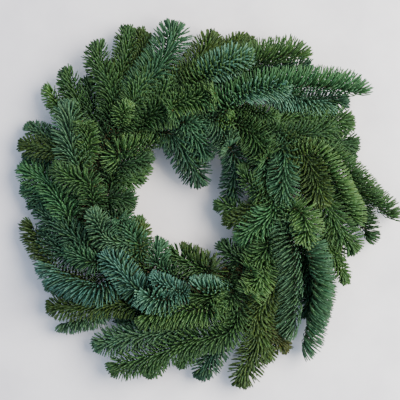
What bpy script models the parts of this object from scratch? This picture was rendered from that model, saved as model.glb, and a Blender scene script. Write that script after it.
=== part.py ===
"""A plain fir wreath, lying flat: 57 noble fir sprays wired round a straw ring.

Lengths and places are in millimetres from the centre of the straw ring, with x to the east, y to
the north and z up from the underside. A clock angle is in degrees clockwise from north, seen from
above, and a round-the-section angle is in degrees from straight up, positive towards the outside.
Every spray's stem lies along the ring under one turn of the binding wire, then rises over the next
turns and swirls clockwise out to its tips.
"""
import math

import bpy
import numpy as np

METRES = 0.001

# Straw ring: a round roll of pressed straw with a flat underside
RING_RADIUS = 107.5
ROLL_RADIUS = 17.5
ROLL_HEIGHT = 16.0
ROLL_SIDES = 8
FLAT_EDGE = 180 - math.degrees(math.acos(ROLL_HEIGHT / ROLL_RADIUS))
GROOVE_DEPTH = 2.7
GROOVE_HALF_ANGLE = 2.2

# Binding wire: one wire, wound round the ring in grooves and over the stems
TURNS = 19
PITCH = 360 / TURNS
FIRST_GROOVE = -15.8
WIRE_RADIUS = 0.6
WIRE_SIDES = 3
WIRE_IN_GROOVE = ROLL_RADIUS - GROOVE_DEPTH + 1.15
WIRE_OVER_STEMS = ROLL_RADIUS + 8.2
WIRE_OVER = 60
# Places over the roll, each an angle round the section and a distance from its middle
WIRE_TOP = ((60, WIRE_OVER_STEMS - 4), (42, WIRE_OVER_STEMS), (14, WIRE_OVER_STEMS),
            (-14, WIRE_OVER_STEMS), (-42, WIRE_OVER_STEMS), (-60, WIRE_OVER_STEMS - 4))

# Stems: outer, top and inner seat under each turn of the wire
SEATS = (42, 0, -42)
STEM_ON_RING = ROLL_RADIUS + 2.5
STEM_RISE = 9.0
ROOT_LENGTH = 12.0
STEM_STATION = 20.0
TWIG_SIDES = 5
STEM_RADIUS = 2.0
SIDE_RADIUS = 1.3
TIP_RADIUS = 1.1
BUD_LENGTH = 4.0

# Paths: how twigs are bent clear of each other, of the wire, of the ring and of the ground
PATH_STEP = 6.0
CURVE_CUTS = 12
FINE_STEP = 2.5
FIXED_SAMPLES = 4
TIP_NEEDLES = 8.0
TWIG_SPACING = 8.2
WIRE_SPACING = 5.2
LOWEST_TWIG = 6.0
ROUNDS = 160
PAIR_REACH = 25.0
FORK_SAMPLES = 3
PUSH = 0.5
FLAT_SHARE = 0.45
LEAST_LIFT = 0.6
STIFFNESS = 0.4

# Needles: pointed, on short whorls round the twig, with a bare span between
WHORL_LENGTH = 2.4
WHORL_PITCH = 14.2
WHORL_TWIST = 36.0
NEEDLE_SWEEP = 55.0
SHORTEST_NEEDLE = 10.0
LONGEST_NEEDLE = 21.0
NEEDLED_BEFORE = 12.0
BARE_AT_FORK = 9.0
NEEDLE_SAMPLES = (0.35, 0.6, 0.8, 1.0)
WHORLS_COMPARED = 4
CROSSING_SAMPLES = 8
CELL_MARGIN = 1.7
TWIG_CLEARANCE = 2.7
NEEDLE_SPACING = 2.1
RING_CLEARANCE = 0.8
GROUND_CLEARANCE = 0.6
# Shares of the full lean and of the full length, tried in this order where there is little room
NEEDLE_TRIES = ((1.0, 1.0), (0.8, 1.0), (0.6, 1.0), (0.9, 0.75), (0.6, 0.75), (0.4, 0.9),
                (0.9, 0.5), (0.5, 0.5))

FIR_GREEN = (0.055, 0.13, 0.075)
STRAW = (0.55, 0.42, 0.2)
WIRE_GREEN = (0.03, 0.08, 0.04)


def shoot(width, *places):
    """One shoot: its width across the needles, and the places it passes, up to its needles' tips."""
    return {"width": width, "places": [np.array(place, float) for place in places]}


# The sprays, three to each turn of the wire: outer, top, inner. The first shoot of a spray
# comes from the stem, and the others fork off it.
SPRAYS = [
    # turn 1
    [shoot(16, (71, 103, 46), (90, 100, 58), (113, 93, 62))],
    [shoot(37, (53, 114, 58), (82, 126, 64), (120, 131, 62), (166, 132, 50), (210, 125, 34)),
     shoot(28, (113, 120, 50), (145, 114, 44), (174, 107, 32))],
    [shoot(32, (34, 97, 50), (45, 76, 56), (49, 64, 66), (52, 61, 82)),
     shoot(14, (52, 90, 62), (56, 108, 70))],
    # turn 2
    [shoot(30, (92, 80, 52), (133, 77, 48), (174, 87, 36))],
    [shoot(34, (78, 76, 58), (89, 57, 64), (93, 51, 74), (94, 48, 86))],
    [shoot(28, (55, 60, 50), (60, 41, 46), (56, 16, 36), (55, -3, 28))],
    # turn 3
    [shoot(34, (116, 69, 46), (137, 76, 46), (175, 90, 38), (199, 89, 26)),
     shoot(32, (156, 72, 38), (182, 68, 30), (207, 67, 20))],
    [shoot(30, (133, 57, 58), (146, 34, 60), (152, 16, 60), (160, -5, 56))],
    [shoot(32, (114, 60, 58), (113, 28, 62), (115, -6, 58))],
    # turn 4
    [shoot(25, (154, 60, 42), (176, 45, 40), (198, 24, 34), (218, 2, 26), (239, -23, 18)),
     shoot(23, (193, 18, 26), (200, -3, 22), (209, -26, 18), (218, -48, 14))],
    [shoot(30, (147, 57, 54), (169, 32, 54), (185, 3, 46), (201, -26, 36))],
    [shoot(23, (101, 7, 48), (82, -7, 46), (60, -22, 40), (44, -20, 34)),
     shoot(25, (90, 7, 54), (76, 23, 58), (63, 43, 54)),
     shoot(34, (105, -9, 54), (87, -25, 50), (64, -47, 40))],
    # turn 5
    [shoot(34, (162, -3, 48), (179, -32, 42), (200, -55, 28)),
     shoot(18, (166, -51, 34), (181, -76, 28), (191, -98, 18))],
    [shoot(34, (120, -44, 60), (126, -78, 56), (126, -113, 46), (126, -147, 32))],
    [shoot(34, (132, -10, 62), (140, -31, 68), (133, -49, 72))],
    # turn 6
    [shoot(30, (147, -69, 26), (159, -101, 18), (154, -130, 14))],
    [shoot(30, (137, -47, 58), (148, -76, 54), (151, -103, 46), (144, -141, 34), (131, -179, 22))],
    [shoot(34, (97, -49, 54), (83, -69, 58), (77, -76, 66), (76, -78, 80))],
    # turn 7
    [shoot(30, (101, -99, 46), (90, -118, 46), (74, -152, 40))],
    [shoot(32, (90, -80, 60), (79, -98, 64), (76, -103, 72), (75, -106, 86))],
    [shoot(28, (72, -69, 46), (55, -59, 42), (40, -49, 34))],
    # turn 8
    [shoot(34, (85, -133, 42), (87, -159, 36), (76, -184, 28), (64, -214, 18)),
     shoot(30, (97, -147, 34), (108, -160, 28), (122, -174, 20))],
    [shoot(30, (55, -147, 54), (10, -159, 52), (-39, -179, 40), (-87, -194, 24)),
     shoot(23, (7, -177, 34), (-10, -194, 24)),
     shoot(21, (-33, -192, 30), (-47, -204, 20))],
    [shoot(25, (55, -108, 56), (40, -121, 58), (34, -124, 66), (33, -125, 80)),
     shoot(25, (47, -100, 52), (25, -98, 54), (6, -93, 52))],
    # turn 9
    [shoot(32, (51, -141, 42), (43, -161, 38), (30, -182, 28), (17, -206, 16))],
    [shoot(30, (32, -122, 60), (-10, -126, 58), (-53, -135, 48))],
    [shoot(30, (33, -77, 48), (14, -69, 46), (-7, -55, 40))],
    # turn 10
    [shoot(30, (1, -144, 42), (-45, -152, 40), (-74, -159, 32), (-106, -167, 20))],
    [shoot(21, (-7, -101, 60), (-25, -92, 64), (-41, -80, 66)),
     shoot(30, (-24, -112, 64), (-39, -108, 68), (-56, -106, 70))],
    [shoot(30, (-31, -71, 50), (-30, -54, 46), (-25, -39, 38))],
    # turn 11
    [shoot(28, (-79, -117, 46), (-120, -121, 38), (-160, -122, 22)),
     shoot(23, (-101, -132, 30), (-125, -139, 22), (-151, -145, 14))],
    [shoot(32, (-51, -101, 58), (-71, -78, 60), (-92, -57, 58))],
    [shoot(32, (-55, -63, 46), (-53, -44, 42), (-45, -24, 36))],
    # turn 12
    [shoot(21, (-126, -86, 34), (-153, -76, 36), (-167, -53, 30), (-181, -26, 20))],
    [shoot(37, (-100, -100, 54), (-131, -90, 48), (-163, -70, 32)),
     shoot(18, (-124, -103, 38), (-143, -100, 30), (-164, -91, 20))],
    [shoot(28, (-51, -55, 54), (-69, -30, 58), (-75, -21, 66), (-76, -17, 80)),
     shoot(25, (-89, -44, 58), (-98, -25, 62), (-107, -6, 60))],
    # turn 13
    [shoot(30, (-120, -46, 50), (-145, -26, 42), (-169, -5, 28))],
    [shoot(25, (-106, -69, 56), (-122, -60, 54), (-139, -52, 48))],
    [shoot(23, (-78, -30, 44), (-69, -14, 40), (-64, 0, 34))],
    # turn 14
    [shoot(32, (-143, 2, 44), (-154, 21, 38), (-171, 30, 30), (-191, 41, 20)),
     shoot(28, (-145, -8, 34), (-161, -5, 26), (-182, -1, 18))],
    [shoot(28, (-108, 21, 62), (-125, 25, 64), (-138, 32, 62), (-148, 43, 56))],
    [shoot(32, (-91, 5, 48), (-74, 3, 44), (-57, 2, 36))],
    # turn 15
    [shoot(28, (-140, 60, 44), (-166, 63, 34), (-192, 67, 22)),
     shoot(23, (-147, 72, 36), (-166, 80, 28), (-187, 89, 18))],
    [shoot(34, (-129, 60, 58), (-131, 85, 56), (-133, 115, 48)),
     shoot(25, (-109, 62, 60), (-113, 85, 66), (-114, 90, 74), (-114, 92, 86))],
    [shoot(30, (-76, 41, 48), (-56, 48, 44), (-38, 56, 36)),
     shoot(30, (-79, 25, 42), (-64, 29, 36), (-47, 34, 28))],
    # turn 16
    [shoot(25, (-118, 103, 46), (-125, 120, 40), (-137, 155, 26)),
     shoot(18, (-139, 103, 32), (-150, 118, 28), (-162, 137, 20))],
    [shoot(32, (-82, 120, 52), (-92, 145, 46), (-100, 167, 36), (-98, 185, 26)),
     shoot(30, (-106, 99, 44), (-109, 120, 38), (-110, 143, 30))],
    [shoot(30, (-78, 56, 52), (-51, 64, 46), (-23, 74, 36))],
    # turn 17
    [shoot(23, (-76, 140, 42), (-69, 168, 34), (-66, 206, 20)),
     shoot(16, (-60, 156, 32), (-52, 182, 26), (-52, 205, 18)),
     shoot(16, (-51, 163, 38), (-45, 184, 30), (-44, 199, 24))],
    [shoot(30, (-60, 108, 56), (-53, 126, 54), (-48, 147, 48)),
     shoot(23, (-71, 97, 62), (-66, 107, 66), (-59, 117, 68))],
    [shoot(34, (-44, 98, 54), (-21, 102, 60), (-14, 103, 68), (-12, 103, 82))],
    # turn 18
    [shoot(39, (-56, 123, 50), (-30, 156, 50), (-15, 184, 42), (-13, 208, 26))],
    [shoot(30, (-5, 114, 56), (25, 120, 62), (33, 122, 70), (36, 123, 84)),
     shoot(30, (-14, 122, 48), (-1, 140, 44), (12, 159, 38))],
    [shoot(32, (-15, 78, 50), (2, 52, 40), (22, 21, 24)),
     shoot(21, (0, 71, 38), (9, 57, 34), (17, 43, 28))],
    # turn 19
    [shoot(34, (7, 146, 46), (24, 172, 36), (37, 198, 22)),
     shoot(23, (41, 168, 34), (62, 179, 28), (84, 189, 18))],
    [shoot(37, (25, 145, 56), (55, 154, 58), (83, 162, 54), (113, 168, 42), (145, 171, 28))],
    [shoot(25, (-1, 92, 52), (18, 90, 50), (37, 82, 44))],
]


def clock_point(clock, around, reach):
    """The point at a distance from the middle of the roll, at one clock angle of the ring."""
    turn = math.radians(clock)
    lean = math.radians(around)
    radius = RING_RADIUS + reach * math.sin(lean)
    height = ROLL_HEIGHT + reach * math.cos(lean)
    return np.array((radius * math.sin(turn), radius * math.cos(turn), height))


def unit(vector):
    return vector / np.linalg.norm(vector)


def smooth_line(points, step):
    """A smooth curve through the points, cut into equal steps of about the given length."""
    points = np.array(points)
    ends = np.vstack((2 * points[0] - points[1], points, 2 * points[-1] - points[-2]))
    knots = np.concatenate(((0,), np.cumsum(np.linalg.norm(np.diff(ends, axis=0), axis=1) ** 0.5)))
    dense = []
    for i in range(1, len(ends) - 2):
        for t in np.linspace(knots[i], knots[i + 1], CURVE_CUTS, endpoint=False):
            dense.append(on_curve(ends[i - 1:i + 3], knots[i - 1:i + 3], t))
    dense.append(ends[-2])
    return even_steps(np.array(dense), step)


def on_curve(p, k, t):
    """A point of the centripetal curve through p[1] and p[2], at the value t."""
    a = [(k[i + 1] - t) / (k[i + 1] - k[i]) * p[i] + (t - k[i]) / (k[i + 1] - k[i]) * p[i + 1]
         for i in range(3)]
    b = [(k[i + 2] - t) / (k[i + 2] - k[i]) * a[i] + (t - k[i]) / (k[i + 2] - k[i]) * a[i + 1]
         for i in range(2)]
    return (k[2] - t) / (k[2] - k[1]) * b[0] + (t - k[1]) / (k[2] - k[1]) * b[1]


def lengths_along(line):
    return np.concatenate(((0,), np.cumsum(np.linalg.norm(np.diff(line, axis=0), axis=1))))


def at_lengths(line, lengths):
    along = lengths_along(line)
    return np.stack([np.interp(lengths, along, line[:, axis]) for axis in range(3)], axis=1)


def even_steps(line, step):
    total = lengths_along(line)[-1]
    return at_lengths(line, np.linspace(0, total, max(2, round(total / step)) + 1))


def shoot_line(places):
    """The line of a twig, which ends short of the last place because its needles reach past it."""
    line = smooth_line(places, 1.0)
    total = lengths_along(line)[-1] - TIP_NEEDLES
    return at_lengths(line, np.linspace(0, total, round(total / PATH_STEP) + 1))


def wire_line():
    """The closed line of the wire: over the stems to the next groove, then round under the ring."""
    corners = np.linspace(-FLAT_EDGE, FLAT_EDGE, ROLL_SIDES)[::-1]
    under = [a for a in corners if a < -WIRE_OVER] + [a for a in corners if a > WIRE_OVER]
    points = []
    for turn in range(TURNS):
        groove = FIRST_GROOVE + turn * PITCH
        for around, reach in WIRE_TOP:
            share = (WIRE_OVER - around) / (2 * WIRE_OVER)
            points.append(clock_point(groove + share * PITCH, around, reach))
        for around in under:
            points.append(clock_point(groove + PITCH, around, WIRE_IN_GROOVE))
    return np.array(points)


def stem_places(turn, seat):
    """The stem's places on the ring: its cut end, under the wire, and where it rises."""
    share = (WIRE_OVER - seat) / (2 * WIRE_OVER)
    crossing = FIRST_GROOVE + (turn + share) * PITCH
    radius = RING_RADIUS + STEM_ON_RING * math.sin(math.radians(seat))
    degree = math.degrees(1 / radius)
    return [clock_point(crossing - ROOT_LENGTH * degree, seat, STEM_ON_RING),
            clock_point(crossing, seat, STEM_ON_RING),
            clock_point(crossing + 0.5 * ROOT_LENGTH * degree, seat, STEM_ON_RING + 0.3),
            clock_point(crossing + 0.66 * PITCH, seat, STEM_ON_RING + 0.75 * STEM_RISE)]


def fork_index(line, place):
    """Where on a shoot's line a side shoot leaves it, to lean about 45 degrees forward."""
    gaps = np.linalg.norm(line - place, axis=1)
    nearest = int(np.argmin(gaps))
    back = int(round(gaps[nearest] / PATH_STEP))
    return max(FIXED_SAMPLES + 1, nearest - back)


def first_lines():
    """Every shoot as drawn: a dictionary with its spray, width, line, and fork on the first shoot."""
    shoots = []
    for number, spray in enumerate(SPRAYS):
        stem = stem_places(number // len(SEATS), SEATS[number % len(SEATS)])
        main = shoot_line(stem + spray[0]["places"])
        first = len(shoots)
        shoots.append({"spray": number, "width": spray[0]["width"], "line": main, "fork": None,
                       "base": spray[0]["places"][0]})
        for side in spray[1:]:
            fork = fork_index(main, side["places"][0])
            line = shoot_line([main[fork]] + side["places"])
            shoots.append({"spray": number, "width": side["width"], "line": line,
                           "fork": (first, fork), "base": line[0]})
    return shoots


def roll_gap(points):
    """How far each point is outside the straw roll, and the way straight out of it."""
    radius = np.hypot(points[:, 0], points[:, 1])
    out = np.stack((radius - RING_RADIUS, points[:, 2] - ROLL_HEIGHT), axis=1)
    reach = np.linalg.norm(out, axis=1)
    way = out / np.maximum(reach, 1e-6)[:, None]
    flat = points[:, :2] / radius[:, None]
    return reach - ROLL_RADIUS, np.column_stack((flat * way[:, :1], way[:, 1]))


def part_lines(shoots, wire):
    """Bends the twigs apart, mostly up and down, until each has room, and keeps them smooth."""
    sizes = [len(s["line"]) for s in shoots]
    starts = np.concatenate(((0,), np.cumsum(sizes)))
    drawn = np.vstack([s["line"] for s in shoots])
    owner = np.repeat(np.arange(len(shoots)), sizes)
    index = np.concatenate([np.arange(n) for n in sizes])
    stem = np.array([s["fork"] is None for s in shoots])[owner]
    fixed = stem & (index < FIXED_SAMPLES)
    pairs = close_pairs(drawn, owner, index, stem, np.array([s["spray"] for s in shoots])[owner])
    shift = np.zeros_like(drawn)
    for _ in range(ROUNDS):
        points = drawn + shift
        push = crowd_push(points, pairs) + wire_push(points, wire) + bounds_push(points)
        push[fixed] = 0
        shift += push
        for number, s in enumerate(shoots):
            part = slice(starts[number], starts[number + 1])
            shift[part] = smoothed(shift[part])
            if s["fork"]:
                main, fork = s["fork"]
                pulled = shift[starts[main] + fork] - shift[part][0]
                shift[part] += np.linspace(1, 0, sizes[number])[:, None] ** 3 * pulled
        shift[fixed] = 0
    for number, s in enumerate(shoots):
        s["line"] = (drawn + shift)[starts[number]:starts[number + 1]]


def close_pairs(points, owner, index, stem, spray):
    """Pairs of samples that may come too near, apart from those of one twig or at a fork."""
    flat = points[:, :2].astype(np.float32)
    near = np.abs(flat[:, None, :] - flat[None, :, :]).max(axis=2) < PAIR_REACH
    by_fork = ~stem & (index < FORK_SAMPLES)
    kin = spray[:, None] == spray[None, :]
    near &= owner[:, None] < owner[None, :]
    near &= ~(kin & (by_fork[:, None] | by_fork[None, :]))
    return np.nonzero(near)


def smoothed(shift):
    """Evens out how far neighbouring samples of a twig have moved, so that it bends gently."""
    inner = (1 - STIFFNESS) * shift[1:-1] + STIFFNESS / 2 * (shift[:-2] + shift[2:])
    ends = (1 - STIFFNESS) * shift[-1:] + STIFFNESS * shift[-2:-1]
    return np.vstack((shift[:1], inner, ends))


def crowd_push(points, pairs):
    """Moves each pair of samples that are too near apart by part of what they lack, mostly in z."""
    low, high = pairs
    apart = points[high] - points[low]
    lack = np.maximum(0, TWIG_SPACING - np.linalg.norm(apart, axis=1))
    close = lack > 0
    low, high, apart, lack = low[close], high[close], apart[close], lack[close]
    apart[:, 2] += np.where(apart[:, 2] < 0, -LEAST_LIFT, LEAST_LIFT)
    apart[:, :2] *= FLAT_SHARE
    way = apart / np.linalg.norm(apart, axis=1)[:, None]
    count = np.bincount(low, minlength=len(points)) + np.bincount(high, minlength=len(points))
    push = np.zeros_like(points)
    for axis in range(3):
        part = lack * way[:, axis]
        push[:, axis] = (np.bincount(high, part, len(points)) - np.bincount(low, part, len(points)))
    return PUSH * push / np.maximum(1, count / 2)[:, None]


def wire_push(points, wire):
    """Lifts each sample that is too near the wire over it."""
    apart = points[:, None, :] - wire[None, :, :]
    distance = np.linalg.norm(apart, axis=2)
    nearest = np.argmin(distance, axis=1)
    rows = np.arange(len(points))
    lack = np.maximum(0, WIRE_SPACING - distance[rows, nearest])
    way = apart[rows, nearest]
    way[:, 2] = np.abs(way[:, 2]) + LEAST_LIFT
    return PUSH * lack[:, None] * way / np.linalg.norm(way, axis=1)[:, None]


def bounds_push(points):
    """Moves samples out of the straw roll and off the ground."""
    gap, way = roll_gap(points)
    lack = np.maximum(0, STEM_ON_RING - ROLL_RADIUS - gap)
    push = lack[:, None] * way
    push[:, 2] += np.maximum(0, LOWEST_TWIG - points[:, 2])
    return push


def frames_along(line, places):
    """Tangent and two cross directions at each place, turned as little as possible."""
    tangents = np.gradient(line, axis=0)
    along = lengths_along(line)
    frames = []
    side = None
    for place in places:
        ahead = unit(np.array([np.interp(place, along, tangents[:, a]) for a in range(3)]))
        if side is None:
            side = np.cross(ahead, (0, 0, 1.0))
        side = unit(side - ahead * np.dot(side, ahead))
        frames.append((ahead, side, np.cross(ahead, side)))
    return frames


def stations(total, needled_from):
    """Lengths along a twig of its rings of corners, and which spans are whorls."""
    bare = list(np.linspace(0, needled_from, max(1, round(needled_from / STEM_STATION)) + 1))
    count = max(1, round((total - needled_from) / WHORL_PITCH))
    pitch = (total - needled_from) / count
    places = bare
    whorls = []
    for whorl in range(count):
        end = needled_from + (whorl + 1) * pitch
        places = places + [end - WHORL_LENGTH, end]
        whorls.append(len(places) - 2)
    return np.array(places), whorls


def twig_rings(s):
    """The rings of corners of one twig, its whorls, and the frames that they stand in."""
    line = s["fine"]
    along = lengths_along(line)
    total = along[-1]
    reach = np.linalg.norm(line - s["base"], axis=1)
    start = along[int(np.argmin(reach))] - NEEDLED_BEFORE
    start = min(max(start, BARE_AT_FORK), total - WHORL_PITCH)
    places, whorls = stations(total, start)
    frames = frames_along(line, places)
    middles = at_lengths(line, places)
    root = STEM_RADIUS if s["fork"] is None else SIDE_RADIUS
    radii = root + (TIP_RADIUS - root) * places / total
    twist = 0.0
    rings = []
    for number, middle in enumerate(middles):
        if number in whorls:
            twist += WHORL_TWIST
        ahead, side, up = frames[number]
        corners = []
        for corner in range(TWIG_SIDES):
            turn = math.radians(twist + 360 * corner / TWIG_SIDES)
            corners.append(middle + radii[number] * (math.cos(turn) * side + math.sin(turn) * up))
        rings.append(np.array(corners))
    return rings, whorls, frames, middles


def needle_length(width):
    full = width / 2 / math.sin(math.radians(NEEDLE_SWEEP))
    return min(LONGEST_NEEDLE, max(SHORTEST_NEEDLE, full))


def needle_tips(s, others, own):
    """For each whorl and side of a shoot, the needle's tip, or None where it has no room."""
    rings, whorls, frames, middles = s["rings"]
    faces = []
    for whorl in whorls:
        quad = rings[whorl] + rings[whorl + 1]
        quad = (quad + np.roll(quad, -1, axis=0)) / 4
        middle = (middles[whorl] + middles[whorl + 1]) / 2
        ahead = unit(middles[min(whorl + 2, len(middles) - 1)] - middles[whorl])
        for corner in range(TWIG_SIDES):
            out = quad[corner] - middle
            out = unit(out - ahead * np.dot(out, ahead))
            faces.append((whorl, corner, quad[corner], out, ahead))
    roots = np.array([f[2] for f in faces])
    outs = np.array([f[3] for f in faces])
    aheads = np.array([f[4] for f in faces])
    tips = np.full_like(roots, np.nan)
    full = needle_length(s["width"])
    for lean_share, length_share in NEEDLE_TRIES:
        lean = math.radians(NEEDLE_SWEEP * lean_share)
        ways = math.cos(lean) * aheads + math.sin(lean) * outs
        ends = roots + full * length_share * ways
        good = has_room(roots, ends, others, own) & np.isnan(tips[:, 0])
        tips[good] = ends[good]
    drop_crossed(roots, tips)
    return {(f[0], f[1]): tip for f, tip in zip(faces, tips) if not np.isnan(tip[0])}


def drop_crossed(roots, tips):
    """Leaves out each needle that comes too near an earlier one of the same twig."""
    shares = np.linspace(NEEDLE_SAMPLES[0], 1.0, CROSSING_SAMPLES)[None, :, None]
    samples = roots[:, None, :] + shares * (tips - roots)[:, None, :]
    for number in range(1, len(tips)):
        if np.isnan(tips[number, 0]):
            continue
        first = max(0, number - WHORLS_COMPARED * TWIG_SIDES)
        earlier = samples[first:number].reshape(-1, 3)
        earlier = earlier[~np.isnan(earlier[:, 0])]
        if len(earlier) and nearest(samples[number], earlier).min() < NEEDLE_SPACING:
            tips[number] = np.nan
            samples[number] = np.nan


def has_room(roots, ends, others, own):
    """Whether each needle stays nearer its own twig than any other thing, and clear of the ring."""
    fine = np.ones(len(roots), bool)
    for share in NEEDLE_SAMPLES:
        points = roots + share * (ends - roots)
        inside = nearest(points, own)
        fine &= nearest(points, others) - inside > CELL_MARGIN
        fine &= inside > TWIG_CLEARANCE
        gap, _ = roll_gap(points)
        fine &= gap > RING_CLEARANCE
        fine &= points[:, 2] > GROUND_CLEARANCE
    return fine


def nearest(points, cloud):
    """The distance from each point to the nearest one of a cloud."""
    square = (points ** 2).sum(axis=1)[:, None] + (cloud ** 2).sum(axis=1)[None, :]
    square = square - 2 * points @ cloud.T
    return np.sqrt(np.maximum(0, square.min(axis=1)))


def twig_mesh(s, name):
    """One shoot as a closed body: the twig, its needles, a cut root and a pointed bud."""
    rings, whorls, frames, middles = s["rings"]
    corners = [tuple(c) for ring in rings for c in ring]
    faces = [tuple(range(TWIG_SIDES))[::-1]]
    for number in range(len(rings) - 1):
        for corner in range(TWIG_SIDES):
            beside = (corner + 1) % TWIG_SIDES
            low, high = number * TWIG_SIDES, (number + 1) * TWIG_SIDES
            quad = (low + corner, low + beside, high + beside, high + corner)
            tip = s["tips"].get((number, corner))
            if tip is None:
                faces += [(quad[0], quad[1], quad[2]), (quad[0], quad[2], quad[3])]
                continue
            corners.append(tuple(tip))
            apex = len(corners) - 1
            faces += [(quad[i], quad[(i + 1) % 4], apex) for i in range(4)]
    corners.append(tuple(middles[-1] + BUD_LENGTH * frames[-1][0]))
    last = (len(rings) - 1) * TWIG_SIDES
    for corner in range(TWIG_SIDES):
        faces.append((last + corner, last + (corner + 1) % TWIG_SIDES, len(corners) - 1))
    return new_object(name, corners, faces)


def new_object(name, corners, faces):
    mesh = bpy.data.meshes.new(name)
    mesh.from_pydata([tuple(METRES * v for v in corner) for corner in corners], [], faces)
    mesh.validate()
    item = bpy.data.objects.new(name, mesh)
    bpy.context.scene.collection.objects.link(item)
    return item


def unite(main, parts):
    """Fuses side shoots into the first one, by one Boolean union on a collection."""
    group = bpy.data.collections.new(main.name + "_forks")
    bpy.context.scene.collection.children.link(group)
    for part in parts:
        bpy.context.scene.collection.objects.unlink(part)
        group.objects.link(part)
    union = main.modifiers.new("forks", "BOOLEAN")
    union.operation = "UNION"
    union.solver = "MANIFOLD"
    union.operand_type = "COLLECTION"
    union.collection = group
    bpy.context.view_layer.update()
    fused = bpy.data.meshes.new_from_object(main.evaluated_get(bpy.context.evaluated_depsgraph_get()))
    main.modifiers.clear()
    main.data = fused
    for part in parts:
        bpy.data.objects.remove(part)
    bpy.data.collections.remove(group)


def plain_material(name, colour, roughness, metallic=0.0):
    material = bpy.data.materials.new(name)
    material.use_nodes = True
    shader = material.node_tree.nodes["Principled BSDF"]
    shader.inputs["Base Color"].default_value = (*colour, 1)
    shader.inputs["Roughness"].default_value = roughness
    shader.inputs["Metallic"].default_value = metallic
    return material


def make_sprays(wire):
    """Lays out every shoot, gives it the needles that have room, and makes a node of each spray."""
    wire_samples = even_steps(np.vstack((wire, wire[:1])), FINE_STEP)
    shoots = first_lines()
    part_lines(shoots, wire_samples)
    for s in shoots:
        s["fine"] = even_steps(s["line"], FINE_STEP)
    material = plain_material("fir_needles", FIR_GREEN, 0.55)
    for s in shoots:
        others = np.vstack([o["fine"] for o in shoots if o is not s] + [wire_samples])
        s["rings"] = twig_rings(s)
        s["tips"] = needle_tips(s, others, s["fine"])
    for number in range(len(SPRAYS)):
        name = f"fir_spray_{number + 1:02d}"
        own = [s for s in shoots if s["spray"] == number]
        main = twig_mesh(own[0], name)
        parts = [twig_mesh(s, f"{name}_fork") for s in own[1:]]
        if parts:
            unite(main, parts)
        main.data.materials.clear()
        main.data.materials.append(material)


def tube(name, rings):
    """A closed tube through rings of corners, which joins its last ring to its first."""
    sides = len(rings[0])
    corners = [tuple(c) for ring in rings for c in ring]
    faces = []
    for number in range(len(rings)):
        following = (number + 1) % len(rings)
        for corner in range(sides):
            beside = (corner + 1) % sides
            faces.append((number * sides + corner, following * sides + corner,
                          following * sides + beside, number * sides + beside))
    return new_object(name, corners, faces)


def make_ring():
    """The straw ring: level lands between the grooves that the wire is pulled into."""
    rings = []
    for turn in range(TURNS):
        groove = FIRST_GROOVE + turn * PITCH
        for clock, depth in ((groove, GROOVE_DEPTH), (groove + GROOVE_HALF_ANGLE, 0),
                             (groove + PITCH / 2, 0), (groove + PITCH - GROOVE_HALF_ANGLE, 0)):
            around = np.linspace(-FLAT_EDGE, FLAT_EDGE, ROLL_SIDES)
            rings.append([clock_point(clock, a, ROLL_RADIUS - depth) for a in around])
    ring = tube("straw_ring", rings)
    ring.data.materials.append(plain_material("straw", STRAW, 0.85))


def make_wire(line):
    rings = []
    count = len(line)
    for number in range(count):
        ahead = unit(line[(number + 1) % count] - line[number - 1])
        flat = unit(np.array((line[number][0], line[number][1], 0)))
        middle = flat * RING_RADIUS + np.array((0, 0, ROLL_HEIGHT))
        out = line[number] - middle
        out = unit(out - ahead * np.dot(out, ahead))
        side = np.cross(out, ahead)
        corners = []
        for corner in range(WIRE_SIDES):
            turn = math.radians(60 + 360 * corner / WIRE_SIDES)
            way = math.cos(turn) * out + math.sin(turn) * side
            corners.append(line[number] + WIRE_RADIUS * way)
        rings.append(corners)
    wire = tube("binding_wire", rings)
    wire.data.materials.append(plain_material("lacquered_wire", WIRE_GREEN, 0.4, 0.6))


def centre_all():
    """Puts the middle of the whole wreath's box over the origin, with the underside at zero."""
    corners = []
    for item in bpy.data.objects:
        corners += [v.co for v in item.data.vertices]
    corners = np.array(corners)
    middle = (corners.min(axis=0) + corners.max(axis=0)) / 2
    for item in bpy.data.objects:
        item.location = (-middle[0], -middle[1], 0)


def main():
    for item in list(bpy.data.objects):
        bpy.data.objects.remove(item)
    wire = wire_line()
    make_ring()
    make_wire(wire)
    make_sprays(wire)
    centre_all()


main()
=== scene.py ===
"""The looks of a plain fir wreath: needles, twigs and buds of 57 noble fir sprays, the straw ring
and its binding wire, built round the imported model.

Places in the spray table are in millimetres from the centre of the straw ring, with x to the east,
y to the north and z up from the surface, as in the construction. A clock angle is in degrees
clockwise from north, and a round-the-section angle in degrees from straight up, towards the outside.
"""
import math

import bpy
import numpy as np
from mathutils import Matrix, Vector

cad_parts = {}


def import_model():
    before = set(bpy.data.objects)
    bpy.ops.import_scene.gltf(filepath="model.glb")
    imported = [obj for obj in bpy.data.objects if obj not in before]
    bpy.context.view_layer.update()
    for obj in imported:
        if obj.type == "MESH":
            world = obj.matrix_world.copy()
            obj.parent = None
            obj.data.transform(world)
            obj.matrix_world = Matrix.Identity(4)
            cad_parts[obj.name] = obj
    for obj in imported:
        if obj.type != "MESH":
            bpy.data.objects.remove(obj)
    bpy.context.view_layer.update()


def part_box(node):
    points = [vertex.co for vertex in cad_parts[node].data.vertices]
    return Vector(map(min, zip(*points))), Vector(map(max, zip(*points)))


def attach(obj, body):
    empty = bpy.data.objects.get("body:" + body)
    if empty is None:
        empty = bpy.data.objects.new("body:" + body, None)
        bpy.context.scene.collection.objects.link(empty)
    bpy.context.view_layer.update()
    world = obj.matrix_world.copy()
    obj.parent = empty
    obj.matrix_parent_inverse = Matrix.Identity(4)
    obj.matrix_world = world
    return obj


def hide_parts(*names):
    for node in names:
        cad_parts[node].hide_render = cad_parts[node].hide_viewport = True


METRES = 0.001

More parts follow.
